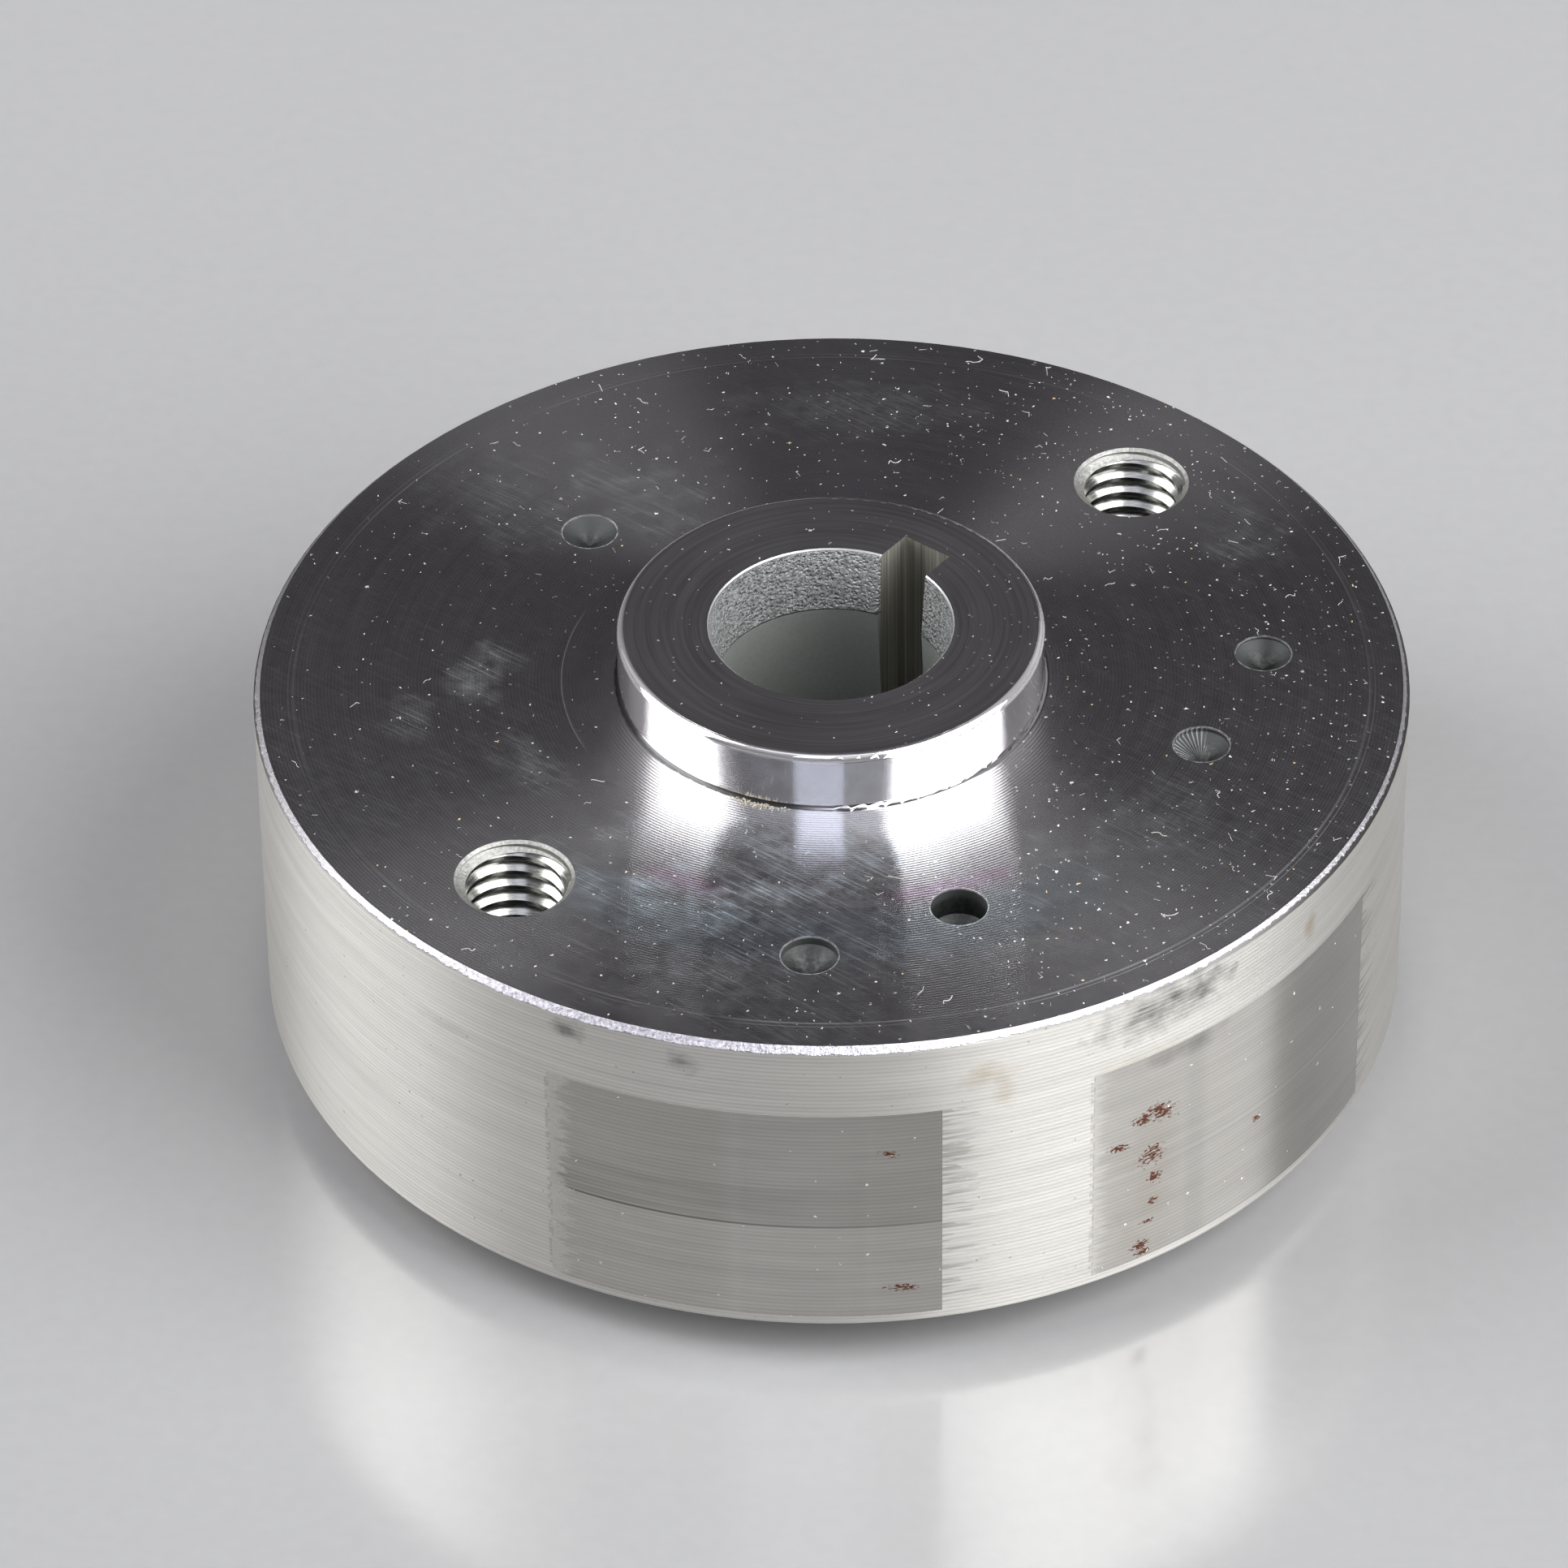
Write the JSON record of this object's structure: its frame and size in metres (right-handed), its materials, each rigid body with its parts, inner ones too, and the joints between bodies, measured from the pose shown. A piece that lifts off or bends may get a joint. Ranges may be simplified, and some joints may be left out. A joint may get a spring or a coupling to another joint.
{
  "type": "magneto rotor",
  "caption": "Turned aluminium ignition rotor with a raised boss, a keyed tapered bore, tapped puller holes, balance drillings and steel pole shoes in the rim.",
  "frame": {"origin": "centre of the bore on the rear hub's face, which the rotor stands on", "axes": "+Z along the bore towards the front boss; the puller holes lie 45.2 degrees anticlockwise from +X, and the keyway 51.5 degrees"},
  "size_m": [0.062, 0.062, 0.025],
  "materials": {
    "turned_aluminium": "fine turned, bright, with dust and small scratches",
    "pole_steel": "fine turned, with a few rust spots",
    "magnet_alloy": "plain, cast in"
  },
  "bodies": {
    "root": {"rotor_body": "turned_aluminium", "pole_shoe_left": "pole_steel", "pole_shoe_right": "pole_steel", "magnet": "magnet_alloy"}
  },
  "joints": []
}
